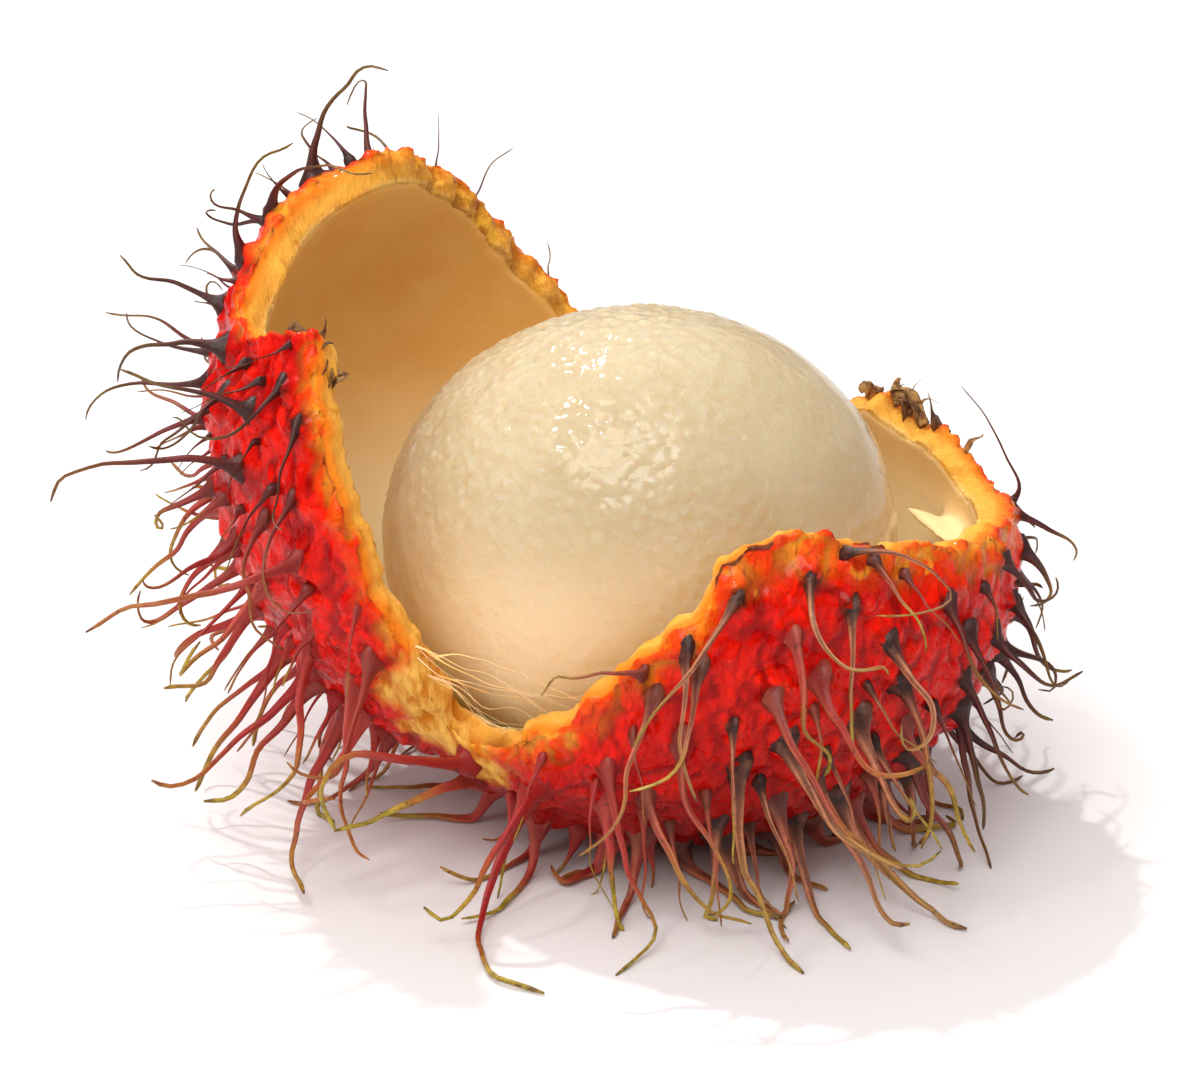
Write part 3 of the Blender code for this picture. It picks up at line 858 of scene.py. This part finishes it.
# how far the surface is pushed, in millimetres, and where the marks on it are
rindRelief = {
    "knobSize": 1.5, "knobs": 0.50, "creases": 0.14, "sunk": 0.40, "swell": 0.25, "rough": 0.07,
    "collar": 0.60, "collarWidth": 1.05, "ring": 0.16, "ringWidth": 0.22,
    "scars": ((57, 108, 0.9), (50.4, 105.8, 1.1), (44.2, 103.2, 0.8), (33, 99.6, 1.0), (80, 105, 0.8)),
    "scallopMiddle": 42, "scallopReach": 44, "scallop": 0.42, "scallopRough": 0.12,
    "strippedSpots": (((-15.4, -12.0, 12.2), (3.6, 4.0, 5.4)), ((-12.8, -12.0, 7.3), (1.9, 2.6, 1.7))),
    "strings": 0.20, "strippedDepth": 0.35,
    "gapeCentre": (-13.2, -13.2, 11.2), "gapeSize": (2.5, 2.4, 1.1), "gapeDepth": 1.5,
    "cutCoarse": 0.24, "cutFine": 0.14, "cutStrings": 0.16, "lining": 0.10,
    "warmCup": 4.2, "warmLid": 2.0, "driedMiddle": 68,
}


class RindParts:
    # where each point of the rind lies: in the wall, from the rim and from the nearest spine
    def __init__(self, points, spines):
        depths, edges = [], []
        for lobe in (cup, lid):
            theta, psi = lobe.angles(points)
            depths.append(lobe.wallShare(points) * rindShape["thickness"])
            edges.append(np.radians(lobe.rim(theta, True) - psi) * lobe.semiAxes.mean())
        self.onCup = depths[0] > depths[1]
        self.depth = np.clip(np.maximum(*depths), 0, rindShape["thickness"])
        self.edge = np.where(self.onCup, *edges)
        tree = kdtree.KDTree(len(spines))
        for index, (line, size) in enumerate(spines):
            tree.insert(Vector(line[1]), index)
        tree.balance()
        self.rootGap = np.array([tree.find(Vector(point))[2] for point in points])
        self.skin = 1 - smoothStep((self.depth - 0.35) / 0.7)
        self.cut = smoothStep((self.depth - 0.3) / 0.6) * (1 - smoothStep((self.depth - 2.3) / 0.35))


def scarRings(points, warped):
    # the ridged rings that lost spines leave, near the cup's front rim
    rings = np.zeros(len(points))
    for theta, psi, radius in rindRelief["scars"]:
        gap = np.linalg.norm((warped + points) / 2 - cup.point(theta, psi), axis=1)
        broken = smoothStep(softNoise(points, 1.2, int(theta)) * 1.2 + 0.55)
        ridge = np.exp(-((gap - radius) / rindRelief["ringWidth"]) ** 2)
        rings = np.maximum(rings, ridge * broken)
    return rings


def strippedSkin(points):
    # skin torn off at the hinge, down to stringy pith
    stripped = np.zeros(len(points))
    for centre, radii in rindRelief["strippedSpots"]:
        reach = np.linalg.norm((points - centre) / radii, axis=1) + 0.35 * softNoise(points, 1.6, 43)
        stripped = np.maximum(stripped, 1 - smoothStep((reach - 0.7) / 0.45))
    return stripped


def wornEdge(points, onCup):
    # the lid's far edge, which tore in uneven scallops and dried
    theta, psi = lid.angles(points)
    away = np.abs((theta + 180) % 360 - 180 - rindRelief["scallopMiddle"])
    worn = np.clip(1 - away / rindRelief["scallopReach"], 0, 1) ** 0.5 * (~onCup)
    unevenness = 0.55 + 0.45 * softNoise(points, 3.0, 42)
    return worn, np.sin(theta * 0.66 + 2.6 * softNoise(points, 4.0, 41)) * unevenness


def driedEdge(points, parts):
    # the dark line that dries along the cup's front rim
    away = np.abs(cup.angles(points)[0] - rindRelief["driedMiddle"])
    reach = smoothStep((20 - away) / 6) * smoothStep(1.5 - parts.depth / 0.7)
    patchy = smoothStep(softNoise(points, 2.2, 47) * 2 + 0.5)
    return np.exp(-(parts.edge / 0.5) ** 2) * parts.onCup * reach * patchy


def carveRind(points, normals, parts):
    # pushes the points in and out, and gives what the rind's colours need to know about each
    relief = rindRelief
    skin, cut = parts.skin, parts.cut
    warped = points + 0.75 * softPush(points, 1.8, 3)
    near, second = cellGaps(warped * (1.15, 1.0, 0.66), relief["knobSize"], 11)
    knobs = smoothStep((second - near) / 0.85)
    creases = np.abs(softNoise(warped * (1, 1, 0.6), 1.15, 17))
    height = relief["knobs"] * knobs + relief["creases"] * smoothStep(creases / 0.45) - relief["sunk"]
    height *= skin
    swell = relief["swell"] * softNoise(points, 3.6, 19)
    height += skin * (swell + relief["rough"] * softNoise(points * (1, 1, 0.6), 0.7, 20))
    height += skin * relief["collar"] * np.exp(-(parts.rootGap / relief["collarWidth"]) ** 2)
    rings = scarRings(points, warped)
    height += skin * relief["ring"] * rings
    worn, scallop = wornEdge(points, parts.onCup)
    height += cut * worn * (relief["scallop"] * scallop + relief["scallopRough"] * softNoise(points, 0.9, 46))
    stripped = strippedSkin(points)
    strings = softNoise(points * (1, 1, 0.14), 0.55, 44)
    bared = skin * (relief["strings"] * strings - relief["strippedDepth"])
    height = height * (1 - 0.8 * stripped) + stripped * bared
    # a dent in the rind at the hinge, which the colours also paint dark as shadow
    gapeReach = np.linalg.norm((points - relief["gapeCentre"]) / relief["gapeSize"], axis=1)
    gapeAndShadow = np.exp(-(gapeReach) ** 2)
    height -= relief["gapeDepth"] * gapeAndShadow
    crumbs = relief["cutCoarse"] * softNoise(points, 1.1, 21) + relief["cutFine"] * softNoise(points, 0.5, 22)
    height += cut * (crumbs + relief["cutStrings"] * strings)
    height -= (1 - skin) * (1 - cut) * relief["lining"] * (1 + softNoise(points, 5.0, 23))
    height *= smoothStep(points[:, 2] / 1.0)
    warmReach = np.where(parts.onCup, relief["warmCup"], relief["warmLid"])
    warm = (1 - smoothStep(parts.edge / warmReach)) * (0.75 + 0.6 * softNoise(points, 1.8, 45))
    dried = driedEdge(points, parts)
    points = points + normals * height[:, None]
    points[:, 2] = np.maximum(points[:, 2], 0.0)
    # painted glow: low masks the lining painted paler and brighter towards the bottom and over the whole cup,
    # as light shining through the rind
    low = smoothStep((26 - points[:, 2]) / 13)
    layers = {
        # under rises towards the floor and masks the painted shade at the bottom of the skin
        "depth": parts.depth, "dried": dried, "under": smoothStep((12 - points[:, 2]) / 8),
        "rootGap": parts.rootGap, "knob": 0.5 * knobs + 0.5 * smoothStep(creases / 0.5),
        "warm": np.clip(warm, 0, 1), "ring": rings, "worn": worn * (0.7 - 0.3 * scallop),
        "stripped": stripped, "strings": strings, "gapeAndShadow": gapeAndShadow, "low": np.maximum(low, 0.35 * parts.onCup),
    }
    return points, layers


rindPoints = pointsOf(rind)
rindPoints, rindLayers = carveRind(rindPoints, normalsOf(rind), RindParts(rindPoints, cupLines + lidLines))
setPoints(rind, rindPoints)
for key, values in rindLayers.items():
    store(rind, key, values)
rind.data.shade_smooth()
print("rind:", len(rind.data.vertices), "points", len(rind.data.polygons), "faces")

rindLook = {
    "red": ((0.68, 0.003, 0.001), (0.90, 0.010, 0.001)),
    # painted highlight: the knob tops are painted paler and pinker
    "paintedKnobHighlight": (0.95, 0.13, 0.08),
    # painted shade: darker red down in the creases and along the seams between pebbles
    "paintedCreaseShade": (0.34, 0.001, 0.001),
    "paintedSeamShade": (0.36, 0.001, 0.001),
    "orange": ((0.86, 0.07, 0.003), (0.90, 0.24, 0.010)),
    "orangeCrease": (0.90, 0.38, 0.03),
    "scar": (0.90, 0.36, 0.025),
    "root": (0.05, 0.008, 0.004),
    # painted shade: the skin darkens to this towards the floor
    "under": (0.26, 0.002, 0.001),
    "speck": (0.06, 0.010, 0.003),
    "pith": ((0.88, 0.22, 0.015), (0.90, 0.43, 0.065)),
    "pithPale": (0.94, 0.64, 0.22),
    "pithBrown": (0.50, 0.13, 0.006),
    "worn": ((0.80, 0.42, 0.045), (0.30, 0.08, 0.004)),
    "golden": ((0.62, 0.19, 0.010), (0.94, 0.54, 0.11)),
    "lining": ((0.82, 0.46, 0.130), (0.86, 0.52, 0.165)),
    # painted glow for the lower lining
    "paintedLiningGlow": (0.99, 0.84, 0.50),
    # painted shadow in the dent at the hinge
    "gapeAndShadow": (0.16, 0.02, 0.002),
    "dried": (0.07, 0.014, 0.006),
    "roughness": 0.26,
    "gloss": 0.38,
}


def skinColour(shade, blotch, grain, fleck, seams):
    look = rindLook
    knob, warm = shade.stored("knob"), shade.stored("warm")
    red = shade.mix(*look["red"], blotch.ramp(0.35, 0.65))
    # painted highlight on the knob tops
    red = shade.mix(red, look["paintedKnobHighlight"], knob.ramp(0.6, 1.0) * 0.5 * grain.ramp(0.45, 0.75))
    # painted shade in the creases between knobs and along the seams between pebbles
    red = shade.mix(look["paintedCreaseShade"], red, knob.ramp(0.0, 0.45))
    red = shade.mix(look["paintedSeamShade"], red, seams.ramp(0.0, 0.2) * 0.4 + 0.6)
    orange = shade.mix(*look["orange"], fleck.ramp(0.4, 0.65))
    orange = shade.mix(look["orangeCrease"], orange, knob.ramp(0.0, 0.5))
    red = shade.mix(red, orange, warm)
    red = shade.mix(red, look["scar"], shade.stored("ring").ramp(0.25, 0.9) * 0.7)
    red = shade.mix(red, look["root"], (1 - shade.stored("rootGap").ramp(0.45, 1.1)) * fleck.ramp(0.35, 0.6))
    # painted shade: the skin is darkened towards the floor
    red = shade.mix(red, look["under"], shade.stored("under") * 0.8)
    return shade.mix(red, look["speck"], shade.noise(0.42, 2, 0.5).ramp(0.70, 0.76) * warm.ramp(0.15, 0.6))


def pithColour(shade, depth, blotch, fleck):
    look = rindLook
    pith = shade.mix(*look["pith"], depth.ramp(0.5, 1.5))
    pith = shade.mix(pith, look["pithPale"], depth.ramp(1.9, 2.5) * blotch.ramp(0.35, 0.6) * 0.8)
    pith = shade.mix(pith, look["pithBrown"], fleck.ramp(0.56, 0.72) * 0.55)
    return shade.mix(pith, shade.mix(*look["worn"], fleck.ramp(0.40, 0.56)), shade.stored("worn"))


def rindSkin():
    shade = newShade("rindSkin")
    look = rindLook
    depth, stripped = shade.stored("depth"), shade.stored("stripped")
    blotch = shade.noise(4.0, 3, 0.55)
    grain = shade.noise(0.7, 4, 0.6)
    fleck = shade.noise(1.6, 4, 0.65)
    fibrous = shade.noise(0.5, 3, 0.6, (1, 1, 0.12))
    seams = shade.cells(1.05, "DISTANCE_TO_EDGE", (1.1, 1.0, 0.7), 1.6)
    golden = shade.mix(*look["golden"], (shade.stored("strings") * 0.25 + fibrous).ramp(0.25, 0.72))
    lining = shade.mix(*look["lining"], blotch.ramp(0.3, 0.7))
    # painted glow: paler, brighter lining towards the bottom and in the cup
    lining = shade.mix(lining, look["paintedLiningGlow"], shade.stored("low"))
    skin = skinColour(shade, blotch, grain, fleck, seams)
    colour = shade.mix(skin, pithColour(shade, depth, blotch, fleck), depth.ramp(0.28, 0.62))
    colour = shade.mix(colour, golden, stripped * (1 - depth.ramp(2.2, 2.6)))
    colour = shade.mix(colour, lining, depth.ramp(2.5, 2.75))
    # painted shadow: the dent at the hinge is painted dark brown, as shade in a gap
    colour = shade.mix(colour, look["gapeAndShadow"], shade.stored("gapeAndShadow").ramp(0.25, 0.8) * 0.9)
    colour = shade.mix(colour, look["dried"], shade.stored("dried").ramp(0.2, 0.6) * 0.9)
    inside = depth.ramp(2.3, 2.7)
    glossy = (1 - depth.ramp(0.3, 0.8)) * (1 - stripped)
    grains = 1 - shade.cells(0.5, "SMOOTH_F1", (1.1, 1.0, 0.7), 1.6)
    pebbles = (seams.ramp(0.0, 0.45) + grains * 0.3) * glossy
    fibres = fibrous * (1 - glossy) * (1 - inside)
    return shade.finish({
        "Base Color": colour,
        "Roughness": grain * 0.20 + look["roughness"] + inside * 0.2,
        "Specular IOR Level": 0.15,
        "Specular Tint": (1.0, 0.12, 0.05, 1),
        "IOR": 1.3,
        "Coat Weight": glossy * look["gloss"],
        "Coat Roughness": 0.06,
        "Coat IOR": 1.4,
        "Normal": shade.bump(grain, 0.08, 0.7, shade.bump(pebbles + fibres * 1.4, 0.20, 1.0)),
    })


rind.data.materials.append(rindSkin())


# the flesh: its relief in millimetres and its colours
arilLook = {
    "pebbleSize": 0.85, "pebbles": 0.13, "sunk": 0.10, "swell": 0.12, "uneven": 0.05, "fine": 0.05,
    # painted light: flesh is the dimmed colour at the top, low the paler, brighter colour below, evening out
    # shade and standing in for light glowing through
    "flesh": ((0.565, 0.462, 0.278), (0.605, 0.512, 0.330)),
    "low": (0.90, 0.66, 0.38),
    "scatterRadius": (1.0, 0.60, 0.34),
    "scatterScale": 0.008,
    "wetness": 0.6,
}


def makeAril():
    look = arilLook
    work = bmesh.new()
    bmesh.ops.create_icosphere(work, subdivisions=arilShape["fineness"], radius=1)
    mesh = bpy.data.meshes.new("arilFlesh")
    work.to_mesh(mesh)
    work.free()
    aril = bpy.data.objects.new("arilFlesh", mesh)
    bpy.context.scene.collection.objects.link(aril)
    sphere = pointsOf(aril) * mm
    axes = arilLobe.semiAxes
    points = arilLobe.centre + sphere * axes
    normals = sphere / axes
    normals /= np.linalg.norm(normals, axis=1)[:, None]
    drift = points + 0.35 * softPush(points, 1.1, 34)
    near, second = cellGaps(drift * (1, 1, 1.35), look["pebbleSize"], 31)
    upper = 0.25 + 0.75 * smoothStep((points[:, 2] - 16) / 12) * smoothStep((8 - points[:, 0]) / 10)
    height = upper * (look["pebbles"] * smoothStep((second - near) / 0.5) - look["sunk"])
    height += look["swell"] * softNoise(points, 7.0, 32) + look["uneven"] * softNoise(points, 2.2, 33)
    height += upper * look["fine"] * softNoise(points, 0.6, 37)
    setPoints(aril, points + normals * height[:, None])
    mesh.shade_smooth()
    # the mask for the painted glow, rising towards the bottom
    store(aril, "low", smoothStep((27 - points[:, 2]) / 13))
    return aril


def arilFlesh():
    shade = newShade("arilFlesh")
    flesh = shade.mix(*arilLook["flesh"], shade.noise(7.0, 3, 0.5).ramp(0.35, 0.65))
    pebbles = shade.bump(shade.cells(0.8, "SMOOTH_F1"), 0.24, 0.8)
    return shade.finish({
        # painted glow: the flesh turns paler and brighter towards the bottom
        "Base Color": shade.mix(flesh, arilLook["low"], shade.stored("low")),
        "Roughness": shade.noise(0.5, 3, 0.6) * 0.16 + 0.22,
        "Subsurface Weight": 1.0,
        "Subsurface Radius": arilLook["scatterRadius"],
        "Subsurface Scale": arilLook["scatterScale"],
        "IOR": 1.40,
        "Specular IOR Level": 0.4,
        "Coat Weight": arilLook["wetness"],
        "Coat Roughness": 0.045,
        "Normal": shade.bump(shade.noise(0.3, 4, 0.65), 0.14, 0.9, pebbles),
    })


aril = makeAril()
aril.data.materials.append(arilFlesh())
print("aril:", len(aril.data.polygons), "faces")


hairLook = {
    "count": 10, "sizes": (0.03, 0.09), "lidAngles": (248, 232), "cupAngles": (104, 128), "wave": 0.6,
    "pale": ((0.90, 0.52, 0.14), (0.94, 0.74, 0.42)),
    "brown": (0.74, 0.28, 0.05),
}


def hairLines(draw):
    # pale hairs of pith, pulled out across the hinge and against the aril
    first, last = hairLook["lidAngles"]
    lines = []
    for _ in range(hairLook["count"]):
        theta = first + (last - first) * draw.uniform(0, 1)
        start = lid.point(theta, lid.rim(theta) - draw.uniform(0.0, 2.5), draw.uniform(0.8, 2.2))
        theta = draw.uniform(*hairLook["cupAngles"])
        end = cup.point(theta, cup.rim(theta) - draw.uniform(0.5, 2.5), draw.uniform(0.6, 2.2))
        sag = draw.uniform(-1.2, 1.2), draw.uniform(-1.6, 0.3), draw.uniform(-2.2, 1.6)
        middle = (start + end) / 2 + sag
        t = np.linspace(0, 1, 24)[:, None]
        line = (1 - t) ** 2 * start + 2 * t * (1 - t) * middle + t**2 * end
        push = np.stack([softNoise(line, 2.0, draw.randrange(99)) for _ in range(3)], axis=1)
        line += hairLook["wave"] * np.sin(math.pi * t) * push
        line = np.array([pushOut(point, arilLobe, 0.2) for point in line])
        lines.append((line, draw.uniform(*hairLook["sizes"])))
    return lines


def pithFibre():
    shade = newShade("pithFibre")
    fibre = shade.mix(*hairLook["pale"], shade.stored("tone"))
    fibre = shade.mix(fibre, hairLook["brown"], shade.stored("tan").ramp(0.6, 1.0) * shade.noise(0.8, 2, 0.5))
    return shade.finish({
        "Base Color": fibre,
        "Roughness": shade.noise(0.4, 2, 0.5) * 0.3 + 0.35,
        "Specular IOR Level": 0.3,
        "Normal": shade.bump(shade.noise(0.2, 2, 0.5), 0.03, 0.6),
    })


hairs = tubes("pithHairs", hairLines(fineDraw), hairHues, fineDraw, hairTube)
hairs.data.materials.append(pithFibre())

for piece in (rind, cupSpines, lidSpines, cupScraps, lidScraps, hairs):
    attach(piece, "root")
    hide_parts("rind")
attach(aril, "root")
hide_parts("aril")
print("pieces placed")


# lights: where each stands and points in millimetres, its width, power and colour, and whether it is mirrored
stageLook = {
    "floor": (0.80, 0.80, 0.805, 1),
    "floorRoughness": 0.6,
    "floorReach": 900,
    "skyLow": (1.0, 0.50, 0.38),
    "skyHigh": (1.0, 0.98, 0.975),
    "skyStrength": 0.82,
    "lights": {
        "key": ((-135, 230, 430), (-4, 0, 15), 16, 0.98, (1.0, 0.98, 0.96), True),
        "side": ((-400, -250, 190), (-10, 0, 20), 240, 0.45, (1.0, 0.96, 0.92), False),
        "window": ((-190, -45, 430), (-4, 0, 18), 32, 0.19, (1.0, 1.0, 1.0), True),
        "fill": ((-90, -280, 480), (-4, 0, 18), 320, 1.45, (1.0, 0.98, 0.95), True),
    },
    "lens": 164,
    "cameraTarget": (-5.3, 0, 19.1),
    "cameraDistance": 350,
    "cameraRise": 23,
}


def makeFloor():
    reach = stageLook["floorReach"]
    corners = [(-reach, -reach, 0), (reach, -reach, 0), (reach, reach, 0), (-reach, reach, 0)]
    floor = newPiece("floor", corners, [(0, 1, 2, 3)])
    shade = newShade("paleFloor")
    floor.data.materials.append(shade.finish({
        "Base Color": stageLook["floor"],
        "Roughness": stageLook["floorRoughness"],
    }))
    floor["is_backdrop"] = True


def makeSky():
    # paler and brighter overhead, warm and dim near the ground
    sky = bpy.data.worlds.new("softSky")
    bpy.context.scene.world = sky
    shade = Shade(sky)
    place = shade.add("ShaderNodeTexCoord", output="Generated")
    rise = shade.add("ShaderNodeSeparateXYZ", None, {0: place}, "Z")
    lift = shade.add("ShaderNodeMapRange", None, {"Value": rise, "From Max": 0.6, "To Min": 0.25})
    colour = shade.mix(stageLook["skyLow"], stageLook["skyHigh"], lift)
    glow = {"Color": colour, "Strength": lift * stageLook["skyStrength"]}
    shade.add("ShaderNodeOutputWorld", None, {"Surface": shade.add("ShaderNodeBackground", None, glow)})


def softLight(name, place, aim, size, power, colour, mirrored):
    light = bpy.data.lights.new(name, "AREA")
    light.shape = "DISK"
    light.size = size * mm
    light.energy = power
    light.color = colour
    lamp = bpy.data.objects.new(name, light)
    lamp.location = Vector(place) * mm
    lamp.rotation_euler = (Vector(aim) - Vector(place)).to_track_quat("-Z", "Y").to_euler()
    lamp.visible_glossy = mirrored
    bpy.context.scene.collection.objects.link(lamp)


def makeCamera():
    lens = bpy.data.cameras.new("camera")
    lens.lens = stageLook["lens"]
    lens.sensor_width = 36
    lens.clip_start = 0.01
    camera = bpy.data.objects.new("camera", lens)
    rise = math.radians(stageLook["cameraRise"])
    away = stageLook["cameraDistance"] * Vector((0, -math.cos(rise), math.sin(rise)))
    camera.location = (Vector(stageLook["cameraTarget"]) + away) * mm
    camera.rotation_euler = (math.pi / 2 - rise, 0, 0)
    scene = bpy.context.scene
    scene.collection.objects.link(camera)
    scene.camera = camera
    scene.view_settings.view_transform = "Standard"


makeFloor()
makeSky()
for name, light in stageLook["lights"].items():
    softLight(name, *light)
makeCamera()
print("stage ready")

sizes = {"cad": cadBox, "visual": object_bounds()}
sizes = {key: [[float(value) for value in corner] for corner in box] for key, box in sizes.items()}
